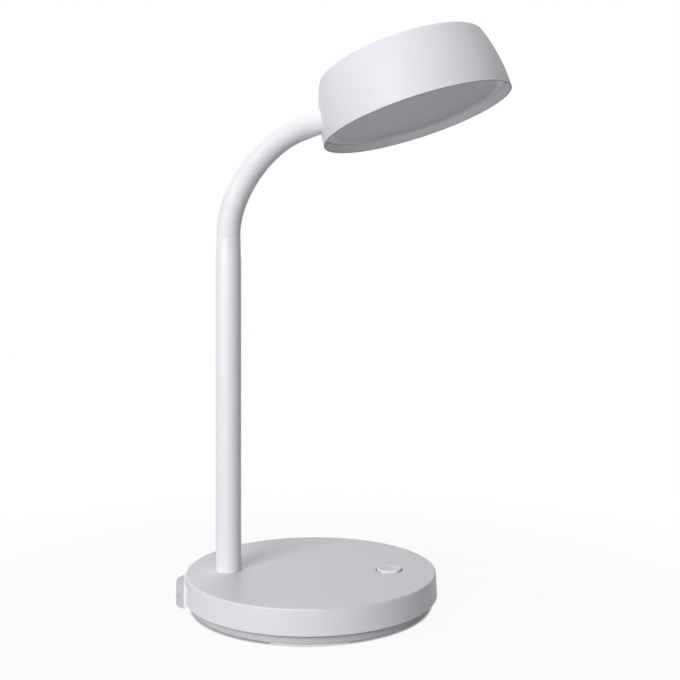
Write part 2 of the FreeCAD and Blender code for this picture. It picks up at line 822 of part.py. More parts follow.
def cable_inlet():
    """Inlet on the back of the base: a faceted cap, a tongue through the wall and a catch inside."""
    body = new_body("cable_inlet", inlet_place())
    groove_low = inlet_middle - d.groove_width / 2
    groove_high = inlet_middle + d.groove_width / 2
    inlet_layer(body, "CapLow", inlet_low, groove_low, NIL)
    inlet_layer(body, "Seam", groove_low, groove_high, d.groove_depth)
    cap = inlet_layer(body, "CapHigh", groove_high, inlet_high, NIL)

    def outer_rim(edge):
        ends = [vertex.Point for vertex in edge.Vertexes]
        level = any(all(abs(point.z - float(end)) < 0.01 for point in ends) for end in (inlet_low, inlet_high))
        outside = all(point.x < -float(inlet_side_reach) + 0.01 for point in ends)
        return level and outside

    round_edges(body, "CapRound", cap, d.inlet_round, outer_rim)
    turned(body, "WallFit", [
        (0, 0),
        (d.base_radius + d.fit_gap, 0),
        (d.base_radius + d.fit_gap, skirt_low),
        (base_top_radius + d.fit_gap, d.base_height),
        (0, d.base_height),
    ], cut=True)
    half = d.inlet_tongue_half_width
    low = inlet_middle - d.inlet_tongue_height / 2
    high = inlet_middle + d.inlet_tongue_height / 2
    outer = d.base_radius + d.shell_wall
    block(body, "Tongue", (-outer, -half, low), (catch_front, half, high))
    block(body, "Catch", (catch_back, -half - d.inlet_catch, low), (catch_front, half + d.inlet_catch, high))
    reach = inlet_reach * 2
    cylinder(body, "CordBore", d.cord_radius, reach, -reach, NIL, inlet_middle, cut=True, lean=RIGHT_ANGLE)
    return body


def cord_clamp():
    """Bar that presses the cord into the cover's saddle."""
    body = new_body("cord_clamp", inlet_place())
    half = d.clamp_half_width
    block(body, "Bar", (clamp_back, -half, inlet_middle),
          (clamp_back + d.clamp_length, half, inlet_middle + d.clamp_thickness))
    cylinder(body, "CordGroove", d.cord_radius, d.clamp_length, clamp_back, NIL, inlet_middle,
             cut=True, lean=RIGHT_ANGLE)
    for index, y in enumerate((d.clamp_screw_offset, -d.clamp_screw_offset)):
        x = clamp_back + d.clamp_length / 2
        cylinder(body, f"ScrewHole{index}", pass_hole, d.clamp_thickness, x, y, inlet_middle, cut=True)
    return body


def cord_clamp_screws():
    """Two screws through the clamp bar into the saddle."""
    top = inlet_middle + d.clamp_thickness
    shank = top - floor_top - d.thread_gap
    x = float(clamp_back + d.clamp_length / 2)
    spots = [Vector(x, side * float(d.clamp_screw_offset), float(top)) for side in (1, -1)]
    return group("cord_clamp_screws", [screw(spot, -UP, shank) for spot in spots], inlet_place())


# ---- control board and button ----------------------------------------------------------------------------


def board_screw_places():
    """Corner screws of the control board."""
    reach = d.board_length / 2 - d.board_screw_inset
    side = d.board_width / 2 - d.board_screw_inset
    corners = ((1, 1), (-1, 1), (-1, -1), (1, -1))
    return [(board_centre + reach * i, d.button_side + side * j) for i, j in corners]


def control_board():
    """Dimmer and driver board under the button."""
    body = new_body("control_board")
    right = d.button_side - d.board_width / 2
    left = d.button_side + d.board_width / 2
    block(body, "Board", (board_back, right, board_low), (board_back + d.board_length, left, board_top))
    for index, (x, y) in enumerate(board_screw_places()):
        hole = d.board_screw_radius + d.screw_hole_gap
        cylinder(body, f"ScrewHole{index}", hole, d.board_thickness, x, y, board_low, cut=True)
    return body


def board_screws():
    """Four small screws from below that hold the board to the shell's bosses."""
    radius = float(d.board_screw_radius)
    head_height = float(d.board_thickness)
    shank = float(d.board_thickness + d.flange_screw_length - d.thread_gap)
    solids = []
    for x, y in board_screw_places():
        place = Vector(float(x), float(y), float(board_low))
        head = Part.makeCylinder(radius * 2, head_height, place - UP * head_height)
        solids.append(head.fuse(Part.makeCylinder(radius, shank, place)).removeSplitter())
    return group("board_screws", solids)


def switch_body():
    """Push switch on the board: a small box with a round bore for its plunger."""
    body = new_body("switch_body")
    half = d.switch_width / 2
    x, y = button_forward, d.button_side
    block(body, "Case", (x - half, y - half, board_top), (x + half, y + half, switch_top))
    bore = d.plunger_radius + d.plunger_gap
    depth = d.switch_height - d.board_thickness / 2
    cylinder(body, "Bore", bore, depth, x, y, switch_top - depth, cut=True)
    return body


def board_part_place(side):
    """Where a round part stands on the board, to one side of its middle line."""
    x = board_centre - d.part_setback
    y = d.button_side + d.part_offset_y * side
    return Placement(Vector(float(x), float(y), 0), Rotation())


def inductor():
    """Drum-core coil on the board: two flanges and a winding."""
    body = new_body("inductor", board_part_place(-1))
    flange = d.inductor_height / 5
    winding = d.inductor_radius - flange / 2
    top = board_top + d.inductor_height
    turned(body, "Coil", [
        (0, board_top),
        (d.inductor_radius, board_top),
        (d.inductor_radius, board_top + flange),
        (winding, board_top + flange),
        (winding, top - flange),
        (d.inductor_radius, top - flange),
        (d.inductor_radius, top),
        (0, top),
    ])
    return body


def capacitor():
    """Can capacitor standing on the board."""
    body = new_body("capacitor", board_part_place(1))
    top = board_top + d.inductor_height
    can = turned(body, "Can", [
        (0, board_top),
        (d.capacitor_radius, board_top),
        (d.capacitor_radius, top),
        (0, top),
    ])
    round_edges(body, "CanRound", can, d.rim_round / 2, circle_at(d.capacitor_radius, top))
    return body


def terminal_block():
    """Terminal block at the back of the board, where the lamp's lead ends."""
    body = new_body("terminal_block")
    middle = d.button_side + d.terminal_offset
    half = d.terminal_width / 2
    block(body, "Block", (board_back, middle - half, board_top),
          (board_back + d.terminal_length, middle + half, board_top + d.terminal_height))
    return body


def lamp_lead():
    """Lead from the terminal block, along its bed in the weight and up the post."""
    level = float(lead_level)
    axis = -float(post_setback)
    top = float(d.post_top - d.plug_depth - d.plug_floor)
    points = [Vector(float(board_back), 0, level), Vector(axis, 0, level), Vector(axis, 0, top)]
    return lead("lamp_lead", points, d.lead_bend)


def button_place():
    """The button's axis."""
    return Placement(Vector(float(button_forward), float(d.button_side), 0), Rotation())


def push_button():
    """Dished cap with a catching lip, hollow below round its stem."""
    body = new_body("push_button", button_place())
    top = d.base_height + d.button_proud
    dish_radius = d.button_radius - d.button_land
    dish_curve = (dish_radius * dish_radius + d.button_dish * d.button_dish) / (d.button_dish * 2)
    hollow_top = top - d.button_dish - d.button_skin
    inside = d.button_radius - d.guide_wall
    cap = turned(body, "Cap", [
        (0, top - d.button_dish, dish_curve),
        (dish_radius, top),
        (d.button_radius, top),
        (d.button_radius, lip_top),
        (lip_radius, lip_top),
        (lip_radius, lip_low),
        (inside, lip_low),
        (inside, hollow_top),
        (d.stem_radius, hollow_top),
        (d.stem_radius, stem_low),
        (d.plunger_radius, stem_low),
        (d.plunger_radius, stem_low + d.plunger_grip),
        (0, stem_low + d.plunger_grip),
    ])
    round_edges(body, "CapRound", cap, d.button_land / 2, circle_at(d.button_radius, top))
    return body


def switch_plunger():
    """Plunger that joins the button's stem and runs in the switch."""
    body = new_body("switch_plunger", button_place())
    low = switch_top - d.button_travel - d.board_thickness / 2
    top = stem_low + d.plunger_grip
    cylinder(body, "Rod", d.plunger_radius, top - low, NIL, NIL, low)
    return body


# ---- post ------------------------------------------------------------------------------------------------


def flange_screw_places():
    """Screws round the post's flange."""
    places = []
    for index in range(FLANGE_SCREWS):
        x, y = at_angle(flange_screw_ring, 180 + index * 360 / FLANGE_SCREWS)
        places.append((x - post_setback, y))
    return places


def post_tube():
    """Steel post; its mouth is drawn in slightly and ends in a low bead round the neck."""
    body = new_body("post_tube", Placement(Vector(-float(post_setback), 0, 0), Rotation()))
    bead = d.post_top - d.post_bead_height / 2
    turned(body, "Tube", [
        (post_bore, flange_low),
        (d.post_radius, flange_low),
        (d.post_radius, d.post_top - d.post_taper),
        (post_waist_radius, d.post_top - d.post_bead_height),
        (post_bead_radius, bead),
        (post_waist_radius, d.post_top),
        (post_bore, d.post_top),
    ])
    return body


def post_flange():
    """Steel disc on the post's foot, screwed up against the seat in the shell."""
    body = new_body("post_flange", Placement(Vector(-float(post_setback), 0, 0), Rotation()))
    turned(body, "Disc", [
        (d.post_radius, flange_low),
        (flange_radius, flange_low),
        (flange_radius, seat_low),
        (d.post_radius, seat_low),
    ])
    thick = d.flange_thickness
    hole = cylinder(body, "ScrewHole", pass_hole, thick, -flange_screw_ring, NIL, flange_low, cut=True)
    ring_of(body, "ScrewHoles", hole, FLANGE_SCREWS)
    return body


def post_flange_screws():
    """Three screws up through the flange into the shell."""
    spots = [Vector(float(x), float(y), float(flange_low)) for x, y in flange_screw_places()]
    return group("post_flange_screws", [screw(spot, UP, d.flange_screw_length) for spot in spots])


def neck_plug():
    """Insert in the post's mouth that grips the neck's core."""
    body = new_body("neck_plug", link_place(0))
    outer = post_bore - d.fit_gap
    grip = d.core_radius + d.fit_gap
    turned(body, "Plug", [
        (d.core_bore, -d.plug_depth),
        (outer, -d.plug_depth),
        (outer, 0),
        (grip, 0),
        (grip, -d.plug_depth + d.plug_floor),
        (d.core_bore, -d.plug_depth + d.plug_floor),
    ])
    return body


# ---- neck ------------------------------------------------------------------------------------------------


def ball_level(ball, radius):
    """Height on a ball of this size at which its surface has the given radius."""
    return root(ball * ball - radius * radius)


def neck_sleeve(index):
    """One link of the soft sleeve: a cup at its start, and a ball at its end that the next cup wraps."""
    body = new_body(f"neck_sleeve_{index:02d}", link_place(index))
    first = index == 0
    last = index == NECK_LINKS
    length = d.neck_cuff if first or last else link_length
    outer = sleeve_radius
    start_outer = 0 if first else ball_level(cup_radius, outer)
    start_inner = 0 if first else ball_level(cup_radius, sleeve_bore)
    end_inner = length if last else length + ball_level(outer, sleeve_bore)
    start_edge = (sleeve_bore, start_inner) if first else (sleeve_bore, start_inner, -cup_radius)
    end_edge = (outer, length) if last else (outer, length, outer)
    turned(body, "Link", [start_edge, (outer, start_outer), end_edge, (sleeve_bore, end_inner)])
    return body


def neck_core(index):
    """One link of the wound steel core, with the same cup and ball as its sleeve."""
    body = new_body(f"neck_core_{index:02d}", link_place(index))
    first = index == 0
    last = index == NECK_LINKS
    outer = d.core_radius
    bore = d.core_bore
    length = d.neck_cuff if first or last else link_length
    if first:
        start = [(bore, d.plug_floor - d.plug_depth), (outer, d.plug_floor - d.plug_depth)]
    else:
        start = [(bore, ball_level(cup_radius, bore), -cup_radius), (outer, ball_level(cup_radius, outer))]
    if last:
        shoulder = length + d.stub_shoulder
        end = [
            (outer, shoulder),
            (d.stub_radius, shoulder),
            (d.stub_radius, length + stub_end),
            (bore, length + stub_end),
        ]
    else:
        ball = sleeve_radius
        end = [(outer, length + ball_level(ball, outer), ball), (bore, length + ball_level(ball, bore))]
    tube = turned(body, "Winding", start + end)
    if first or last:
        return body
    pitch = d.core_wire * 2
    groove = d.core_wire / 2
    low = ball_level(cup_radius, outer) + pitch / 2
    turned(body, "Groove", [
        (outer - groove / 2, low + groove / 2),
        (outer, low),
        (outer, low + groove),
    ], cut=True)
    groove_cut = body.Tip
    rows = body.newObject("PartDesign::LinearPattern", "Grooves")
    rows.Originals = [groove_cut]
    rows.Direction = (origin_feature(body, "Z_Axis"), [""])
    rows.Occurrences = 4
    bind(rows, "Length", pitch * 3)
    body.Tip = rows
    return body


# ---- head ------------------------------------------------------------------------------------------------


def spigot_point(along):
    """A place on the spigot's axis in the head's frame, measured from the spigot's mouth."""
    return d.spigot_low + along * sine(d.spigot_angle), -spigot_reach + along * cosine(d.spigot_angle)


def head_screw_places():
    """Screws that hold the heat spreader and the LED board."""
    return [at_angle(head_screw_ring, index * 360 / HEAD_SCREWS) for index in range(HEAD_SCREWS)]


def head_shell():
    """Drum moulding: curved side, domed top, spigot for the neck, diffuser ledge and bosses."""
    body = new_body("head_shell", HEAD)
    dome_curve = (d.head_crown_radius * d.head_crown_radius + d.head_dome * d.head_dome) / (d.head_dome * 2)
    drum = turned(body, "Drum", [
        (0, 0),
        (d.head_rim_radius, 0, d.head_side_curve),
        (d.head_crown_radius, d.head_height, dome_curve),
        (0, d.head_height + d.head_dome),
    ])
    crown = round_edges(body, "CrownRound", drum, d.head_crown_round,
                        circle_at(d.head_crown_radius, d.head_height))
    z, x = spigot_point(NIL)
    cylinder(body, "Spigot", spigot_radius, spigot_reach / 2, x, NIL, z, lean=spigot_lean)
    side_foot = mouth_radius - d.diffuser_gap / 2
    ledge_top = diffuser_top + d.ledge_height
    turned(body, "Inside", [
        (0, 0),
        (d.head_rim_radius - d.head_edge, 0),
        (side_foot, diffuser_top),
        (side_foot - d.ledge_width, diffuser_top),
        (side_foot - d.ledge_width, ledge_top),
        (side_foot - d.ledge_width / 2, ledge_top, d.head_side_curve - d.head_wall),
        (d.head_crown_radius - d.head_wall, d.head_height - d.head_wall),
        (0, d.head_height - d.head_wall),
    ], cut=True)
    z, x = spigot_point(d.stub_shoulder)
    tall = nut_seat - d.stub_shoulder
    cylinder(body, "NutSeat", d.nut_seat_radius, tall, x, NIL, z, lean=spigot_lean)
    z, x = spigot_point(-d.stub_tail)
    tall = d.stub_shoulder + d.stub_tail
    cylinder(body, "NeckBore", d.core_radius + d.stub_gap, tall, x, NIL, z, cut=True, lean=spigot_lean)
    z, x = spigot_point(NIL)
    opening = d.stub_radius + d.stub_gap
    cylinder(body, "StubBore", opening, nut_seat * 2, x, NIL, z, cut=True, lean=spigot_lean)
    boss_low = d.spreader_level + d.spreader_thickness
    boss_top = d.head_height - d.head_wall / 2
    for index, (x, y) in enumerate(head_screw_places()):
        cylinder(body, f"Boss{index}", boss_radius, boss_top - boss_low, x, y, boss_low)
        cylinder(body, f"Thread{index}", thread_hole, d.head_boss_depth, x, y, boss_low, cut=True)
    return body


def neck_nut():
    """Hexagon nut that clamps the neck's stub to the head's wall."""
    z, x = spigot_point(nut_seat)
    place = Placement(Vector(float(x), 0, float(z)), Rotation(Vector(0, 1, 0), float(spigot_lean)))
    corner = float(d.nut_flat) / math.cos(math.pi / 6)
    corners = [Vector(corner, 0, 0)]
    corners = [Rotation(UP, 60 * index + 30).multVec(corners[0]) for index in range(6)]
    hexagon = Part.Face(Part.makePolygon(corners + corners[:1]))
    nut = hexagon.extrude(UP * float(d.nut_thickness))
    nut = nut.cut(Part.makeCylinder(float(d.stub_radius), float(d.nut_thickness)))
    return group("neck_nut", [nut], HEAD.multiply(place))


def heat_spreader():
    """Pressed aluminium dish that carries the LED board."""
    body = new_body("heat_spreader", HEAD)
    low = d.spreader_level
    top = low + d.spreader_thickness
    turned(body, "Dish", [
        (0, low),
        (spreader_radius, low),
        (spreader_radius, low + d.spreader_edge),
        (spreader_radius - d.spreader_thickness, low + d.spreader_edge),
        (spreader_radius - d.spreader_thickness, top),
        (0, top),
    ])
    for index, (x, y) in enumerate(head_screw_places()):
        cylinder(body, f"ScrewHole{index}", pass_hole, d.spreader_thickness, x, y, low, cut=True)
    return body


def led_board():
    """Round aluminium-core board."""
    body = new_body("led_board", HEAD)
    cylinder(body, "Disc", led_board_radius, d.led_board_thickness, NIL, NIL, led_board_low)
    for index, (x, y) in enumerate(head_screw_places()):
        cylinder(body, f"ScrewHole{index}", pass_hole, d.led_board_thickness, x, y, led_board_low, cut=True)
    return body


def led_chips():
    """Two rings of LED packages under the board."""
    size = Vector(float(d.led_length), float(d.led_width), float(d.led_height))
    low = float(led_board_low) - size.z
    chips = []
    for ring, count in ((d.led_inner_ring, INNER_LEDS), (d.led_outer_ring, OUTER_LEDS)):
        for index in range(count):
            chip = Part.makeBox(size.x, size.y, size.z, Vector(float(ring) - size.x / 2, -size.y / 2, low))
            chip.rotate(Vector(), UP, index * 360 / count)
            chips.append(chip)
    return group("led_chips", chips, HEAD)


def head_screws():
    """Screws up through the board and the spreader into the shell's bosses."""
    shank = d.led_board_thickness + d.spreader_thickness + d.head_boss_depth - d.thread_gap
    spots = [Vector(float(x), float(y), float(led_board_low)) for x, y in head_screw_places()]
    return group("head_screws", [screw(spot, UP, shank) for spot in spots], HEAD)


def reflector():
    """White cone from the spreader down to the diffuser, notched where the lead comes in."""
    body = new_body("reflector", HEAD)
    turned(body, "Cone", [
        (reflector_bottom_radius, diffuser_top),
        (reflector_bottom_radius + d.reflector_wall, diffuser_top),
        (reflector_top_radius + d.reflector_wall, d.spreader_level),
        (reflector_top_radius, d.spreader_level),
    ])
    half = d.reflector_notch / 2
    block(body, "LeadNotch", (-reflector_bottom_radius, -half, d.spreader_level - d.reflector_notch - half),
          (-reflector_top_radius + d.reflector_notch, half, d.spreader_level), cut=True)
    return body


def diffuser():
    """Flat opal disc against its ledge."""
    body = new_body("diffuser", HEAD)
    radius = mouth_radius - d.diffuser_gap
    disc = turned(body, "Disc", [
        (0, d.diffuser_recess),
        (radius, d.diffuser_recess),
        (radius, diffuser_top),
        (0, diffuser_top),
    ])
    round_edges(body, "DiscRound", disc, d.lip_round, circle_at(radius, d.diffuser_recess))
    return body


def led_lead():
    """Lead from the neck's stub through the reflector's notch to the board's underside."""
    low, back = spigot_point(stub_end)
    start_low, start_back = spigot_point(d.stub_shoulder)
    level = led_board_low - d.lead_radius
    notch = -reflector_top_radius - d.reflector_wall
    ends = [
        Vector(float(start_back), 0, float(start_low)),
        Vector(float(back), 0, float(low)),
        Vector(float(notch), 0, float(level)),
        Vector(-float(led_board_radius) + float(d.lead_bend), 0, float(level)),
    ]
    return lead("led_lead", ends, d.lead_bend, HEAD)


# ---- build -----------------------------------------------------------------------------------------------


def build_all():
    """Every piece, from the floor up."""
    base_shell()
    base_cover()
    foot_pads()
    ballast_plate()
    ballast_screws()
    cover_screws()
    cable_inlet()
    cord_clamp()
    cord_clamp_screws()
    control_board()
    board_screws()
    switch_body()
    inductor()
    capacitor()
    terminal_block()
    lamp_lead()
    push_button()
    switch_plunger()
    post_tube()
    post_flange()
    post_flange_screws()
    neck_plug()
    for index in range(NECK_LINKS + 1):
        neck_sleeve(index)
        neck_core(index)
    head_shell()
    neck_nut()
    heat_spreader()
    led_board()
    led_chips()
    head_screws()
    reflector()
    diffuser()
    led_lead()


def check_and_export():
    """Stop if any object failed, then write one STEP file per piece."""
    doc.recompute()
    for thing in doc.Objects:
        if "Invalid" in thing.State or "Error" in thing.State:
            raise RuntimeError(f"{thing.Label} failed: {thing.State}")
    for node in pieces:
        if node.Shape.isNull() or not node.Shape.isValid() or not node.Shape.Solids:
            raise RuntimeError(f"{node.Label} has no valid solid")
    os.makedirs("parts", exist_ok=True)
    for node in pieces:
        node.Shape.exportStep(f"parts/{node.Label}.step")
        print(f"{node.Label}: {len(node.Shape.Solids)} solid, {node.Shape.Volume / 1000:.2f} cm3")


build_all()
check_and_export()
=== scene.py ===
"""Desk lamp: weighted round base, tube post, flexible neck and a drum head with an LED board.

Frame: origin at the centre of the base, on the surface it stands on; +Z up, +X from the post to the head.
Lengths are metres.
"""
import json
import math

import bpy
import numpy as np
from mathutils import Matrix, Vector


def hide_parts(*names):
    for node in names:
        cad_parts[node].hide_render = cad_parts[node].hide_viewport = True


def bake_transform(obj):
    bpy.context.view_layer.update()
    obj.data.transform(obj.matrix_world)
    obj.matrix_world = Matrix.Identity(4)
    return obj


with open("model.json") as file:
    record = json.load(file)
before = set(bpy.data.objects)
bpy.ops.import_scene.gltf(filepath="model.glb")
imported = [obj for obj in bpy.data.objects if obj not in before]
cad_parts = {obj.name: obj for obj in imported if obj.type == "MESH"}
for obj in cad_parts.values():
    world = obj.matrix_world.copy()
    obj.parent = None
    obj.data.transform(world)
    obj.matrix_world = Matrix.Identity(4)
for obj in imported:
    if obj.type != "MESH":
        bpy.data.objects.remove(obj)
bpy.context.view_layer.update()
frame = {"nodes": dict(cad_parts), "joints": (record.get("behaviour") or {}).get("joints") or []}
nodes = frame["nodes"]
joints = {joint["name"]: joint for joint in frame["joints"]}

# ---------------------------------------------------------------------------------------------------------
# View, sweep and light. A level camera in front of the lamp, a white sweep below and behind it, and large
# soft lamps, the strongest on the left.

CAMERA_PLACE = (-0.0262, -0.5091, 0.1670)
CAMERA_TURN = -5.0
CAMERA_LENS = 42.10
SENSOR = 36.0

camera = bpy.data.objects.new("camera", bpy.data.cameras.new("camera"))
camera.data.lens = CAMERA_LENS
camera.data.sensor_width = SENSOR
camera.data.clip_start = 0.01
camera.location = CAMERA_PLACE
camera.rotation_euler = (math.radians(90), 0, math.radians(CAMERA_TURN))
bpy.context.scene.collection.objects.link(camera)
bpy.context.scene.camera = camera
bpy.context.scene.view_settings.view_transform = "Standard"


class Value:
    """A shader socket; arithmetic on it adds Math nodes to its tree."""

    def __init__(self, socket):
        self.socket = socket

    def _math(self, operation, first, second=None):
        node = self.socket.id_data.nodes.new("ShaderNodeMath")
        node.operation = operation
        join(node.inputs[0], first)
        join(node.inputs[1], second)
        return Value(node.outputs[0])

    def __add__(self, other):
        return self._math("ADD", self, other)

    def __radd__(self, other):
        return self._math("ADD", other, self)

    def __sub__(self, other):
        return self._math("SUBTRACT", self, other)

    def __rsub__(self, other):
        return self._math("SUBTRACT", other, self)

    def __mul__(self, other):
        return self._math("MULTIPLY", self, other)

    def __rmul__(self, other):
        return self._math("MULTIPLY", other, self)

    def __gt__(self, other):
        return self._math("GREATER_THAN", self, other)

    def __lt__(self, other):
        return self._math("LESS_THAN", self, other)

    def above(self, low, high):
        """Rises smoothly from 0 at low to 1 at high."""
        node = self.socket.id_data.nodes.new("ShaderNodeMapRange")
        node.interpolation_type = "SMOOTHSTEP"
        for key, term in (("Value", self), ("From Min", low), ("From Max", high)):
            join(node.inputs[key], term)
        return Value(node.outputs[0])


def join(socket, term):
    """Link a Value to a socket, or write a plain number, colour or vector into it."""
    if isinstance(term, Value):
        socket.id_data.links.new(term.socket, socket)
    elif term is not None:
        socket.default_value = term


class Finish:
    """A material or world built from nodes; node() adds any node with its settings and sockets."""

    def __init__(self, holder):
        self.holder = holder
        holder.use_nodes = True
        self.tree = holder.node_tree
        self.tree.nodes.clear()

    def node(self, kind, settings=(), out=0, **sockets):
        node = self.tree.nodes.new("ShaderNode" + kind)
        for name, setting in dict(settings).items():
            setattr(node, name, setting)
        for name, term in sockets.items():
            key = int(name[1:]) if name[0] == "_" else name.replace("_", " ")
            join(node.inputs[key], term)
        return Value(node.outputs[out]) if node.outputs else None

    def mix(self, share, first, second):
        """A colour between two colours."""
        return self.node("Mix", {"data_type": "RGBA"}, 2, _0=share, _6=first, _7=second)

    def straight_view(self):
        """1 for rays from the camera, off glossy surfaces and through clear ones, 0 for soft light."""
        first, second, third = (self.node("LightPath", out=f"Is {kind} Ray")
                                for kind in ("Camera", "Glossy", "Transmission"))
        return first + second + third

    def surface(self, shader):
        """Give the finished shader to the output and hand back the material or world."""
        output = "OutputWorld" if isinstance(self.holder, bpy.types.World) else "OutputMaterial"
        self.node(output, Surface=shader)
        return self.holder


# The sweep is seen as white, with a share of plain matte paper near the lamp so that its shadow stays.
PAPER = (0.52, 0.52, 0.53, 1.0)
PAPER_SHARE = 0.06
PAPER_NEAR = 0.14
PAPER_FAR = 0.40
# In a thin ring right round the foot the share of bare paper rises to most: the real shade there is kept,
# and the ring is also darker than the white floor around it, a painted contact shadow.
CONTACT_SHARE = 0.74
CONTACT_NEAR = 0.0750
CONTACT_FAR = 0.0775
FLOOR_SIZE = 12.0

paper = Finish(bpy.data.materials.new("paper"))
seen = paper.straight_view()
reach = paper.node("VectorMath", {"operation": "LENGTH"}, "Value", _0=paper.node("TexCoord", out="Object"))
white = paper.node("Emission", Color=(1, 1, 1, 1), Strength=1.0)
bare = paper.node("BsdfDiffuse", Color=PAPER)
share = PAPER_SHARE - PAPER_SHARE * reach.above(PAPER_NEAR, PAPER_FAR)
share = share + CONTACT_SHARE - CONTACT_SHARE * reach.above(CONTACT_NEAR, CONTACT_FAR)
kept = paper.node("MixShader", Fac=share, _1=white, _2=bare)
paper.surface(paper.node("MixShader", Fac=seen, _1=bare, _2=kept))

bpy.ops.mesh.primitive_plane_add(size=FLOOR_SIZE, location=(0, 0, 0))
floor = bpy.context.object
floor.name = "floor"
floor.data.materials.append(paper.holder)

SKY = (0.92, 0.91, 0.94, 1)
SKY_LEFT = 0.20
SKY_RIGHT = 0.00
SKY_TURN = 0.5

sky = Finish(bpy.data.worlds.new("sky"))
seen = sky.straight_view()
way = sky.node("SeparateXYZ", out="X", Vector=sky.node("TexCoord", out="Generated"))
bright = sky.node("Background", Color=SKY, Strength=SKY_LEFT)
dark = sky.node("Background", Color=SKY, Strength=SKY_RIGHT)
room = sky.node("MixShader", Fac=way.above(-SKY_TURN, SKY_TURN), _1=bright, _2=dark)
white = sky.node("Background", Color=(1, 1, 1, 1), Strength=1.0)
bpy.context.scene.world = sky.surface(sky.node("MixShader", Fac=seen, _1=room, _2=white))


def soft_lamp(name, place, target, width, watts):
    """A square area lamp at a place, facing a target."""
    lamp = bpy.data.objects.new(name, bpy.data.lights.new(name, "AREA"))
    lamp.data.size = width
    lamp.data.energy = watts
    lamp.location = place
    aim = Vector(target) - Vector(place)
    lamp.rotation_euler = aim.to_track_quat("-Z", "Y").to_euler()
    bpy.context.scene.collection.objects.link(lamp)


soft_lamp("key_lamp", (-0.78, -1.17, 0.66), (0, 0, 0.15), 0.7, 14.4)
soft_lamp("front_lamp", (0.12, -1.55, 0.55), (0, 0, 0.15), 0.9, 3.5)
soft_lamp("top_lamp", (-0.15, -0.1, 1.8), (0, 0, 0.1), 1.2, 5)
soft_lamp("back_lamp", (-0.35, 0.95, 1.45), (0, 0, 0.05), 1.2, 5)


# ---------------------------------------------------------------------------------------------------------
# Base casing and, later, the head. Injection-moulded white plastic with a faint lavender cast, from tools
# with a fine spark-eroded grain. The casing takes screws in bosses on its underside.

SHELL_WHITE = (0.800, 0.785, 0.840, 1)
SHELL_SHADE = (0.770, 0.755, 0.812, 1)
DRIFT_SHEEN = 0.06
RUBBED_SHEEN = 0.10
COAT_ROUGHNESS = 0.22


def moulded(name, colour, shade, rough, grain, depth, coat=0.0, gloss=0.5, tinted=None):
    """Moulded plastic: slow colour drift, fine tool grain as bump, and a sheen that varies with handling.

    tinted is a function of the finish, the place and the body colour that gives the colour back with what
    the piece has in another one, and with any painted light or shade.
    """
    finish = Finish(bpy.data.materials.new(name))
    place = finish.node("TexCoord", out="Object")
    drift = finish.node("TexNoise", Vector=place, Scale=13.0, Detail=2.0)
    rubbed = finish.node("TexNoise", Vector=place, Scale=170.0, Detail=5.0, Roughness=0.7)
    fine = finish.node("TexNoise", Vector=place, Scale=grain, Detail=3.0, Roughness=0.6)
    sheen = rough + (drift - 0.5) * DRIFT_SHEEN + (rubbed - 0.5) * RUBBED_SHEEN
    relief = finish.node("Bump", Height=fine, Distance=depth, Strength=1.0)
    body = finish.mix(drift, colour, shade)
    if tinted:
        body = tinted(finish, place, body)
    return finish.surface(finish.node(
        "BsdfPrincipled", Base_Color=body, Roughness=sheen, Specular_IOR_Level=gloss, Normal=relief,
        Coat_Weight=coat, Coat_Roughness=COAT_ROUGHNESS))


def dress(material, *names):
    """Give CAD nodes their finish."""
    for name in names:
        nodes[name].data.materials.clear()
        nodes[name].data.materials.append(material)


dress(moulded("shell_white", SHELL_WHITE, SHELL_SHADE, rough=0.34, grain=1500.0, depth=0.000008,
              gloss=0.38), "base_shell")

# ---------------------------------------------------------------------------------------------------------
# Cable inlet. A block clipped in the casing's rim, moulded in a light grey plastic without the casing's
# cast; its root, where it meets the casing, is paler white and glossier.

INLET_GREY = (0.65, 0.64, 0.64, 1)
INLET_SHADE = (0.60, 0.59, 0.59, 1)
INLET_ROOT_WHITE = (0.93, 0.92, 0.94, 1)
INLET_WAY = (-0.995884, -0.090633, 0.0)
INLET_ROOT_EDGE = 0.0801
INLET_ROOT_FADE = 0.0001

block = Finish(bpy.data.materials.new("inlet_grey"))
place = block.node("TexCoord", out="Object")
out = block.node("VectorMath", {"operation": "DOT_PRODUCT"}, "Value", _0=place, _1=INLET_WAY)
pale_root = 1.0 - out.above(INLET_ROOT_EDGE - INLET_ROOT_FADE, INLET_ROOT_EDGE + INLET_ROOT_FADE)
drift = block.node("TexNoise", Vector=place, Scale=60.0, Detail=3.0)
grain = block.node("TexNoise", Vector=place, Scale=1700.0, Detail=3.0, Roughness=0.6)
relief = block.node("Bump", Height=grain, Distance=0.00004, Strength=1.0)
dress(block.surface(block.node(
    "BsdfPrincipled", Base_Color=block.mix(pale_root, block.mix(drift, INLET_GREY, INLET_SHADE), INLET_ROOT_WHITE),
    Roughness=0.40 + drift * 0.10 - pale_root * 0.15, Normal=relief)), "cable_inlet")

# ---------------------------------------------------------------------------------------------------------
# Bottom cover. Moulded in a darker grey plastic with a coarser etched grain, because it is not seen. Its
# upper rim, in the seam under the casing, is painted dark in patches as shade. The clamp bar for the cord
# is of the same plastic.

COVER_GREY = (0.61, 0.60, 0.64, 1)
COVER_SHADE = (0.57, 0.56, 0.60, 1)
COVER_SEAM_SHADE = (0.16, 0.15, 0.16, 1)
SEAM_LOW = 0.0041
SEAM_HIGH = 0.0060
SHADE_PATCH_LEAST = 0.7
SHADE_PATCH_SPAN = 0.3

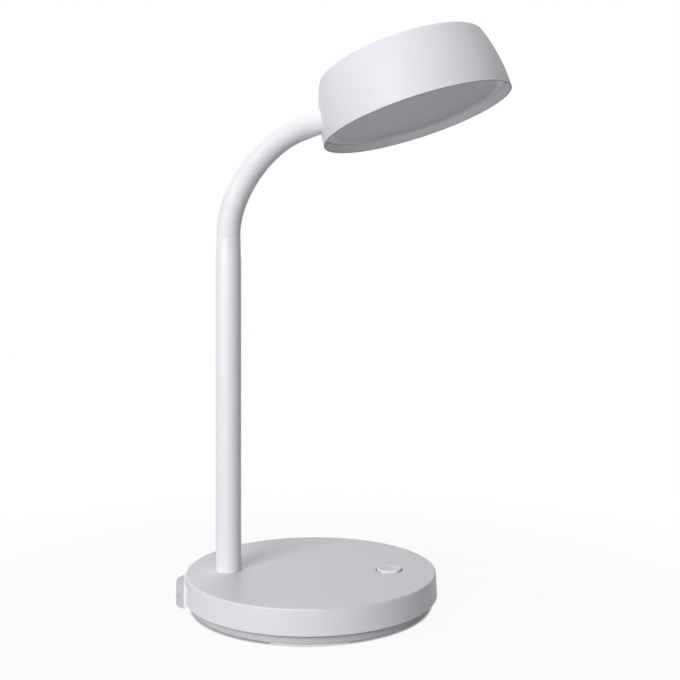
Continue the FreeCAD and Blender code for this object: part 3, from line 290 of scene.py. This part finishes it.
cover = Finish(bpy.data.materials.new("cover_grey"))
place = cover.node("TexCoord", out="Object")
level = cover.node("SeparateXYZ", out="Z", Vector=place)
drift = cover.node("TexNoise", Vector=place, Scale=13.0, Detail=2.0)
etched = cover.node("TexNoise", Vector=place, Scale=1100.0, Detail=3.0, Roughness=0.6)
# Painted shade in the seam under the casing: darker towards the top of the rim, in patches.
shade_patches = cover.node("TexNoise", Vector=place, Scale=260.0, Detail=4.0) * SHADE_PATCH_SPAN + SHADE_PATCH_LEAST
seam_shade = level.above(SEAM_LOW, SEAM_HIGH) * shade_patches
relief = cover.node("Bump", Height=etched, Distance=0.00008, Strength=1.0)
dress(cover.surface(cover.node(
    "BsdfPrincipled", Base_Color=cover.mix(seam_shade, cover.mix(drift, COVER_GREY, COVER_SHADE), COVER_SEAM_SHADE),
    Roughness=0.50 + etched * 0.10 + seam_shade * 0.2, Normal=relief)), "base_cover", "cord_clamp")

# ---------------------------------------------------------------------------------------------------------
# Foot pads. Die-cut matte rubber in a pale grey, glued in shallow pockets of the cover. Its skin has fine
# pores, and dust clings to it in patches.

RUBBER = (0.88, 0.87, 0.90, 1)
RUBBER_DUST = (0.82, 0.81, 0.81, 1)

pad = Finish(bpy.data.materials.new("foot_rubber"))
place = pad.node("TexCoord", out="Object")
pores = pad.node("TexVoronoi", Vector=place, Scale=1800.0)
patch = pad.node("TexNoise", Vector=place, Scale=60.0, Detail=6.0, Roughness=0.65).above(0.52, 0.72)
relief = pad.node("Bump", Height=pores, Distance=0.00006, Strength=0.8)
dress(pad.surface(pad.node(
    "BsdfPrincipled", Base_Color=pad.mix(patch * 0.5, RUBBER, RUBBER_DUST), Roughness=0.72 + patch * 0.2,
    Normal=relief)), "foot_pads")

# ---------------------------------------------------------------------------------------------------------
# Weight plate. Sand-cast iron, left with its rough skin under a thin black wash; the skin rusts in spots.
# Screws hold it down in the cover's tray, so that the lamp doesn't tip when the neck reaches forward.

IRON = (0.075, 0.075, 0.080, 1)
IRON_RUST = (0.170, 0.085, 0.045, 1)

iron = Finish(bpy.data.materials.new("ballast_iron"))
place = iron.node("TexCoord", out="Object")
sand = iron.node("TexNoise", Vector=place, Scale=900.0, Detail=6.0, Roughness=0.75)
swell = iron.node("TexNoise", Vector=place, Scale=90.0, Detail=3.0)
spots = iron.node("TexNoise", Vector=place, Scale=220.0, Detail=8.0, Roughness=0.7).above(0.60, 0.70)
relief = iron.node("Bump", Height=sand + swell * 2.0, Distance=0.00025, Strength=0.9)
dress(iron.surface(iron.node(
    "BsdfPrincipled", Base_Color=iron.mix(spots, IRON, IRON_RUST), Roughness=0.62 + spots * 0.25,
    Metallic=0.6 - spots * 0.5, Normal=relief)), "ballast_plate")

# ---------------------------------------------------------------------------------------------------------
# Screws, flange and nut. Zinc-plated steel, blue-passivated, so that its colour wanders from
# silver to a faint yellow; fine turning marks run round it.

ZINC = (0.60, 0.62, 0.66, 1)
ZINC_YELLOW = (0.66, 0.63, 0.52, 1)

zinc = Finish(bpy.data.materials.new("zinc_steel"))
place = zinc.node("TexCoord", out="Object")
tint = zinc.node("TexNoise", Vector=place, Scale=120.0, Detail=3.0).above(0.35, 0.75)
turning = zinc.node("TexNoise", Vector=zinc.node(
    "VectorMath", {"operation": "MULTIPLY"}, _0=place, _1=(1.0, 1.0, 9.0)), Scale=2400.0, Detail=2.0)
relief = zinc.node("Bump", Height=turning, Distance=0.00001, Strength=0.7)
dress(zinc.surface(zinc.node(
    "BsdfPrincipled", Base_Color=zinc.mix(tint * 0.6, ZINC, ZINC_YELLOW), Roughness=0.28 + turning * 0.16,
    Metallic=1.0, Normal=relief)), "ballast_screws", "cover_screws", "cord_clamp_screws", "board_screws",
    "post_flange", "post_flange_screws", "neck_nut", "head_screws")

# ---------------------------------------------------------------------------------------------------------
# Control board. Glass-epoxy board under green solder mask; copper tracks show through as paler, raised
# lines in two directions.

MASK_GREEN = (0.020, 0.160, 0.070, 1)
TRACK_GREEN = (0.050, 0.300, 0.130, 1)
TRACK_SCALE = 420.0

board = Finish(bpy.data.materials.new("board_green"))
place = board.node("TexCoord", out="Object")
region = board.node("TexNoise", Vector=place, Scale=110.0, Detail=0.0)
across = board.node("TexWave", {"bands_direction": "X"}, Vector=place, Scale=TRACK_SCALE).above(0.70, 0.80)
along = board.node("TexWave", {"bands_direction": "Y"}, Vector=place, Scale=TRACK_SCALE).above(0.70, 0.80)
turned = region.above(0.49, 0.50)
track = across * turned + along * (1.0 - turned)
track = track * board.node("TexNoise", Vector=place, Scale=60.0, Detail=0.0).above(0.44, 0.46)
weave = board.node("TexNoise", Vector=place, Scale=3000.0, Detail=1.0)
relief = board.node("Bump", Height=track + weave * 0.1, Distance=0.00004, Strength=0.8)
dress(board.surface(board.node(
    "BsdfPrincipled", Base_Color=board.mix(track, MASK_GREEN, TRACK_GREEN), Roughness=0.24 + weave * 0.1,
    Normal=relief)), "control_board")

# ---------------------------------------------------------------------------------------------------------
# Parts on the board. Switch case and coil in black moulded resin, terminal block in green nylon, a
# capacitor can in drawn aluminium. The dish that takes the LEDs' heat is pressed from the same metal.

RESIN_BLACK = (0.030, 0.030, 0.032, 1)
RESIN_SHADE = (0.045, 0.043, 0.045, 1)
TERMINAL_GREEN = (0.10, 0.36, 0.19, 1)
TERMINAL_SHADE = (0.13, 0.42, 0.22, 1)

dress(moulded("part_black", RESIN_BLACK, RESIN_SHADE, rough=0.42, grain=2600.0, depth=0.00003),
      "switch_body", "inductor")
dress(moulded("part_green", TERMINAL_GREEN, TERMINAL_SHADE, rough=0.45, grain=2200.0, depth=0.00003),
      "terminal_block")

ALUMINIUM = (0.74, 0.75, 0.78, 1)
ALUMINIUM_DULL = (0.60, 0.60, 0.62, 1)

metal = Finish(bpy.data.materials.new("bare_aluminium"))
place = metal.node("TexCoord", out="Object")
rolled = metal.node("TexNoise", Vector=metal.node(
    "VectorMath", {"operation": "MULTIPLY"}, _0=place, _1=(0.06, 1.0, 1.0)), Scale=2600.0, Detail=3.0)
stain = metal.node("TexNoise", Vector=place, Scale=45.0, Detail=5.0, Roughness=0.6).above(0.45, 0.75)
relief = metal.node("Bump", Height=rolled, Distance=0.000012, Strength=0.8)
dress(metal.surface(metal.node(
    "BsdfPrincipled", Base_Color=metal.mix(stain * 0.5, ALUMINIUM, ALUMINIUM_DULL),
    Roughness=0.26 + rolled * 0.18 + stain * 0.1, Metallic=1.0, Normal=relief)),
    "capacitor", "heat_spreader")

# ---------------------------------------------------------------------------------------------------------
# Leads. Two-core cable in soft grey PVC, extruded, with a fine grain and a slight gloss. One runs from the
# control board up the post, the other from the neck's end to the LED board.

LEAD_GREY = (0.42, 0.42, 0.44, 1)
LEAD_SHADE = (0.48, 0.48, 0.49, 1)

dress(moulded("lead_grey", LEAD_GREY, LEAD_SHADE, rough=0.40, grain=1300.0, depth=0.00005),
      "lamp_lead", "led_lead")

# ---------------------------------------------------------------------------------------------------------
# Push button. A dished white cap in a finer finish than the casing, whose edge is polished where a finger
# wears it, and painted whiter as a highlight. The plunger below it, and the plug in the post's mouth, are
# moulded in natural nylon.

BUTTON_WHITE = (0.800, 0.790, 0.840, 1)
BUTTON_EDGE_HIGHLIGHT = (0.950, 0.945, 0.970, 1)
BUTTON_CENTRE = (0.0488, -0.0086, 0.0)
BUTTON_DISH = 0.0069
BUTTON_RIM = 0.0072
NYLON = (0.80, 0.80, 0.76, 1)
NYLON_SHADE = (0.74, 0.73, 0.67, 1)

cap = Finish(bpy.data.materials.new("button_white"))
place = cap.node("TexCoord", out="Object")
flat = cap.node("VectorMath", {"operation": "MULTIPLY"}, _0=place, _1=(1.0, 1.0, 0.0))
radius = cap.node("VectorMath", {"operation": "DISTANCE"}, "Value", _0=flat, _1=BUTTON_CENTRE)
polished_edge_and_highlight = radius.above(BUTTON_DISH, BUTTON_RIM)
grain = cap.node("TexNoise", Vector=place, Scale=2300.0, Detail=3.0)
touched = cap.node("TexNoise", Vector=place, Scale=240.0, Detail=5.0, Roughness=0.65)
relief = cap.node("Bump", Height=grain, Distance=0.00002, Strength=1.0)
# The edge is glossier and coated, and its colour is painted whiter there as a highlight.
dress(cap.surface(cap.node(
    "BsdfPrincipled", Base_Color=cap.mix(polished_edge_and_highlight, BUTTON_WHITE, BUTTON_EDGE_HIGHLIGHT),
    Roughness=0.30 + touched * 0.10 - polished_edge_and_highlight * 0.20, Coat_Weight=polished_edge_and_highlight, Coat_Roughness=0.08, Normal=relief)),
    "push_button")
dress(moulded("plug_nylon", NYLON, NYLON_SHADE, rough=0.48, grain=900.0, depth=0.00004),
      "switch_plunger", "neck_plug")

# ---------------------------------------------------------------------------------------------------------
# Post. Drawn steel tube in white powder coat, whose surface has the slow waves of orange peel and fine
# pinholes. Its mouth is rolled in to a low bead.

POST_WHITE = (0.875, 0.860, 0.900, 1)
POST_SHADE = (0.855, 0.840, 0.882, 1)

coat = Finish(bpy.data.materials.new("post_white"))
place = coat.node("TexCoord", out="Object")
peel = coat.node("TexNoise", Vector=place, Scale=520.0, Detail=1.0)
speck = coat.node("TexVoronoi", Vector=place, Scale=700.0).above(0.05, 0.12)
drift = coat.node("TexNoise", Vector=place, Scale=20.0, Detail=2.0)
relief = coat.node("Bump", Height=peel + speck * 0.15, Distance=0.00004, Strength=0.8)
dress(coat.surface(coat.node(
    "BsdfPrincipled", Base_Color=coat.mix(drift, POST_WHITE, POST_SHADE), Roughness=0.42 + peel * 0.08,
    Specular_IOR_Level=0.4, Normal=relief, Coat_Weight=0.3, Coat_Roughness=0.34)), "post_tube")

# ---------------------------------------------------------------------------------------------------------
# Neck core. Two steel wires wound to a tight tube; it carries the lead and holds the bend by friction.
# A film of oil from the winding stays on it in patches.

WIRE = (0.42, 0.42, 0.44, 1)
WIRE_OIL = (0.22, 0.20, 0.18, 1)

wire = Finish(bpy.data.materials.new("core_steel"))
place = wire.node("TexCoord", out="Object")
drawn = wire.node("TexNoise", Vector=place, Scale=3200.0, Detail=3.0)
oil = wire.node("TexNoise", Vector=place, Scale=240.0, Detail=4.0).above(0.48, 0.66)
relief = wire.node("Bump", Height=drawn, Distance=0.00002, Strength=0.6)
dress(wire.surface(wire.node(
    "BsdfPrincipled", Base_Color=wire.mix(oil, WIRE, WIRE_OIL), Roughness=0.36 - oil * 0.14 + drawn * 0.1,
    Metallic=1.0, Normal=relief)), *[name for name in nodes if name.startswith("neck_core")])

# ---------------------------------------------------------------------------------------------------------
# Neck sleeve. One soft white silicone tube drawn over the core, matte, with fine lines from extrusion.
# It is built as rings: the first spans the joint at the post, each other one a sway joint. Rings that meet
# at a bend joint end in zones of one ball round that joint, so that the skin stays closed when they turn.

SLEEVE_RADIUS = 0.0075
SLEEVE_BORE = 0.0050
NECK_START = (-0.0527, 0.0, 0.2308)
NECK_END = (-0.00432, 0.0, 0.302933)
SLEEVE_COLOUR = (0.850, 0.836, 0.866, 1)
SLEEVE_SHADE = (0.825, 0.811, 0.843, 1)
SLEEVE_ROWS = 36
SLEEVE_SIDES = 72
BALL_RADIUS = 0.00748
BALL_ANGLE = math.radians(24)
BALL_ROWS = 8
BLEND_SHARE = 0.85

silicone = Finish(bpy.data.materials.new("sleeve_white"))
place = silicone.node("Attribute", {"attribute_name": "along_around"}, "Vector")
lines = silicone.node("TexNoise", Vector=silicone.node(
    "VectorMath", {"operation": "MULTIPLY"}, _0=place, _1=(0.02, 1.0, 1.0)), Scale=3000.0, Detail=2.0)
skin = silicone.node("TexNoise", Vector=place, Scale=1700.0, Detail=3.0)
lint = silicone.node("TexNoise", Vector=place, Scale=70.0, Detail=5.0).above(0.45, 0.70)
relief = silicone.node("Bump", Height=lines * 0.5 + skin, Distance=0.00003, Strength=0.8)
sleeve_white = silicone.surface(silicone.node(
    "BsdfPrincipled", Base_Color=silicone.mix(lint, SLEEVE_COLOUR, SLEEVE_SHADE),
    Roughness=0.50 + lint * 0.12, Normal=relief))

pivots = [joints[f"neck_{way}_{n}"]["pos_m"] for n in range(1, 6) for way in ("bend", "sway")]
stations = np.array([NECK_START, *pivots, NECK_END])
steps = np.diff(stations, axis=0)
lengths = np.linalg.norm(steps, axis=1)
ways = steps / lengths[:, None]
marks = np.concatenate([[0.0], np.cumsum(lengths)])
link_halves = lengths / 2
link_halves[[0, -1]] = lengths[[0, -1]]
turn_halves = np.minimum(link_halves[:-1], link_halves[1:])


def neck_line(run):
    """Points and unit tangents of the neck's line at the lengths run from its start.

    The line is start + first * s, plus (after - before) * f(s - mark) for each joint, with its directions
    before and after. f(u) = (u + h)^2 / 4h within the half-length h of the turn, 0 before it and u after
    it, so that the tangent swings evenly from one direction to the next.
    """
    past = run[:, None] - marks[1:-1]
    inside = np.clip(past, -turn_halves, turn_halves)
    swing = (inside + turn_halves) / (2 * turn_halves)
    f = (inside + turn_halves) ** 2 / (4 * turn_halves) + np.maximum(past - turn_halves, 0)
    turns = np.diff(ways, axis=0)
    points = stations[0] + np.outer(run, ways[0]) + f @ turns
    tangent = ways[0] + swing @ turns
    return points, tangent / np.linalg.norm(tangent, axis=1)[:, None]


def sleeve_wall(low, high, ball_low, ball_high):
    """Points of the tube's wall between two lengths of the line, and their place along and around it.

    A closed profile of lengths, steps along the tangent and radii runs over the outer wall, the end, the
    bore and the start. The circle at each of its rows has one direction on the hinge side +Y and the
    other at right angles to it and to the tangent. A ball end steps r sin(a) with the radius r cos(a).
    """
    rows = np.linspace(low, high, SLEEVE_ROWS)
    angle = np.linspace(0, BALL_ANGLE, BALL_ROWS + 1)[1:]
    reach = BALL_RADIUS * np.sin(np.append(angle, BALL_ANGLE))
    width = np.append(BALL_RADIUS * np.cos(angle), SLEEVE_BORE)
    end = len(reach) * ball_high
    start = len(reach) * ball_low
    still = np.zeros(SLEEVE_ROWS)
    run = np.concatenate([rows, np.full(end, high), rows[::-1], np.full(start, low)])
    step = np.concatenate([still, reach[:end], still, -reach[:start][::-1]])
    radius = np.concatenate([still + SLEEVE_RADIUS, width[:end], still + SLEEVE_BORE, width[:start][::-1]])

    line, tangent = neck_line(run)
    line = line + step[:, None] * tangent
    side = np.array([0.0, 1.0, 0.0])
    over = np.cross(tangent, side)
    turn = np.linspace(0, 2 * math.pi, SLEEVE_SIDES, endpoint=False)
    ring = np.cos(turn)[None, :, None] * side + np.sin(turn)[None, :, None] * over[:, None, :]
    points = line[:, None, :] + radius[:, None, None] * ring
    around = np.stack(np.broadcast_arrays(
        (run + step)[:, None], SLEEVE_RADIUS * np.cos(turn), SLEEVE_RADIUS * np.sin(turn)), axis=-1)
    return points, around


def grid_piece(name, points, material, crease=40.0):
    """A piece over a grid of points, shaped (rows, columns, 3), that closes on itself both ways.

    Cell (i, j) has the corners (i, j), (i, j+1), (i+1, j+1), (i+1, j); indices wrap round.
    """
    index = np.arange(points.shape[0] * points.shape[1]).reshape(points.shape[:2])
    below = np.roll(index, -1, axis=0)
    cells = np.stack([index, np.roll(index, -1, 1), np.roll(below, -1, 1), below], axis=-1)
    mesh = bpy.data.meshes.new(name)
    mesh.from_pydata(points.reshape(-1, 3).tolist(), [], cells.reshape(-1, 4).tolist())
    mesh.polygons.foreach_set("use_smooth", np.ones(len(mesh.polygons), bool))
    mesh.set_sharp_from_angle(angle=math.radians(crease))
    mesh.materials.append(material)
    piece = bpy.data.objects.new(name, mesh)
    bpy.context.scene.collection.objects.link(piece)
    return piece


bend_marks = marks[3:-1:2]
cuts = [0.0, (marks[1] + marks[2]) / 2, *bend_marks, marks[-1]]

# k is the joint that lies within ring n: the first bend joint, then each sway joint.
for n, k in enumerate([1, *range(2, len(pivots) + 1, 2)], start=1):
    low, high = cuts[n - 1:n + 1]
    points, around = sleeve_wall(low, high, ball_low=low in bend_marks, ball_high=high in bend_marks)
    sleeve = grid_piece(f"neck_sleeve_ring_{n}", points, sleeve_white)
    attribute = sleeve.data.attributes.new("along_around", "FLOAT_VECTOR", "POINT")
    attribute.data.foreach_set("vector", around.astype(np.float32).ravel())
    half = min(marks[k] - low, high - marks[k]) * BLEND_SHARE
    stations[k] - ways[k - 1] * half
    stations[k] + ways[k] * half
    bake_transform(sleeve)
    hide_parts(*(f"neck_sleeve_{link:02d}" for link in range(k if n == 2 else k - 1, k + 1)))

# ---------------------------------------------------------------------------------------------------------
# Head casing. The same moulding plastic as the base, in one drum with the spigot for the neck. The spigot
# is thin, and takes the colour of the sleeve that meets it. The wall inside the lip is painted paler as
# painted light, and the face of the lip is painted dark as painted shade.

SPIGOT_ANGLE = math.radians(67.7)
SPIGOT_WAY = (math.sin(SPIGOT_ANGLE), 0.0, math.cos(SPIGOT_ANGLE))
SPIGOT_RADIUS = 0.0077
SPIGOT_LENGTH = 0.016
MOUTH_CENTRE = (0.068231, 0.0, 0.309849)
MOUTH_PITCH = math.radians(16.2)
MOUTH_WAY = (math.sin(MOUTH_PITCH), 0.0, -math.cos(MOUTH_PITCH))
LIP_RADIUS = 0.0612
LIP_DEPTH = 0.0001
LIP_PAINTED_SHADE = (0.21, 0.20, 0.22, 1)
WALL_DEPTH = 0.0052
WALL_RADIUS = 0.0619
WALL_PAINTED_LIGHT = (0.96, 0.95, 0.98, 1)


def head_tints_and_painted_light(finish, place, body):
    """Colour of the spigot, painted light on the wall inside the lip and painted shade on the lip face,
    by distance along and off their axes.
    """

    def along_and_off(point, way):
        """Distance of the place along the line from point in the direction way, and off that line."""
        arm = finish.node("VectorMath", {"operation": "SUBTRACT"}, _0=place, _1=point)
        along = finish.node("VectorMath", {"operation": "DOT_PRODUCT"}, "Value", _0=arm, _1=way)
        turned = finish.node("VectorMath", {"operation": "CROSS_PRODUCT"}, _0=arm, _1=way)
        return along, finish.node("VectorMath", {"operation": "LENGTH"}, "Value", _0=turned)

    along, off = along_and_off(NECK_END, SPIGOT_WAY)
    body = finish.mix((off < SPIGOT_RADIUS) * (along < SPIGOT_LENGTH), body, SLEEVE_COLOUR)
    along, off = along_and_off(MOUTH_CENTRE, MOUTH_WAY)
    # The wall inside the lip is painted paler: painted light.
    body = finish.mix((along > -WALL_DEPTH) * (off < WALL_RADIUS), body, WALL_PAINTED_LIGHT)
    # The face of the lip is painted dark: painted shade.
    return finish.mix((along > -LIP_DEPTH) * (off > LIP_RADIUS), body, LIP_PAINTED_SHADE)


dress(moulded("head_white", SHELL_WHITE, SHELL_SHADE, rough=0.46, grain=1500.0, depth=0.000008,
              gloss=0.3, tinted=head_tints_and_painted_light), "head_shell")

# ---------------------------------------------------------------------------------------------------------
# LED board and LEDs. Aluminium-core board under white solder mask, and packages whose phosphor is yellow.
# The copper rings that join the LEDs show through the mask.

MASK_WHITE = (0.84, 0.84, 0.83, 1)
TRACK_WHITE = (0.76, 0.76, 0.74, 1)
PHOSPHOR = (0.86, 0.70, 0.16, 1)
PHOSPHOR_PALE = (0.90, 0.80, 0.42, 1)

board = Finish(bpy.data.materials.new("led_board_white"))
place = board.node("TexCoord", out="Object")
track = board.node("TexWave", {"wave_type": "RINGS"}, Vector=place, Scale=160.0).above(0.35, 0.45)
dull = board.node("TexNoise", Vector=place, Scale=600.0, Detail=4.0)
relief = board.node("Bump", Height=track + dull * 0.2, Distance=0.00003, Strength=0.7)
dress(board.surface(board.node(
    "BsdfPrincipled", Base_Color=board.mix(track, MASK_WHITE, TRACK_WHITE), Roughness=0.38 + dull * 0.15,
    Normal=relief)), "led_board")
dress(moulded("led_yellow", PHOSPHOR, PHOSPHOR_PALE, rough=0.30, grain=5200.0, depth=0.00002, coat=0.5),
      "led_chips")

# ---------------------------------------------------------------------------------------------------------
# Reflector. White moulded cone with a matte inside, kept as bright as the plastic allows. It stands round
# the LED board and sends its light down to the diffuser.

REFLECTOR_WHITE = (0.88, 0.88, 0.88, 1)
REFLECTOR_SHADE = (0.85, 0.85, 0.86, 1)

dress(moulded("reflector_white", REFLECTOR_WHITE, REFLECTOR_SHADE, rough=0.60, grain=1400.0, depth=0.00004),
      "reflector")

# ---------------------------------------------------------------------------------------------------------
# Diffuser. Opal acrylic disc with a satin face, laser-cut, that sits in the head's mouth. Unlit, it is
# grey; towards its edge it is painted paler, as painted light that lifts the shade by the casing's wall.

OPAL = (0.585, 0.548, 0.600, 1)
OPAL_DEEP = (0.515, 0.482, 0.530, 1)
OPAL_EDGE_PAINTED_LIGHT = (0.860, 0.820, 0.880, 1)
EDGE_START = 0.0530
EDGE_END = 0.0570

opal = Finish(bpy.data.materials.new("diffuser_opal"))
place = opal.node("TexCoord", out="Object")
cloud = opal.node("TexNoise", Vector=place, Scale=26.0, Detail=2.0)
reach = opal.node("VectorMath", {"operation": "DISTANCE"}, "Value", _0=place, _1=MOUTH_CENTRE)
# Towards the edge the colour is painted paler: painted light.
edge_painted_light = reach.above(EDGE_START, EDGE_END)
satin = opal.node("TexNoise", Vector=place, Scale=2800.0, Detail=2.0)
relief = opal.node("Bump", Height=satin, Distance=0.00002, Strength=0.8)
dress(opal.surface(opal.node(
    "BsdfPrincipled", Base_Color=opal.mix(edge_painted_light, opal.mix(cloud, OPAL, OPAL_DEEP), OPAL_EDGE_PAINTED_LIGHT),
    Roughness=0.42 + satin * 0.12, Normal=relief)), "diffuser")
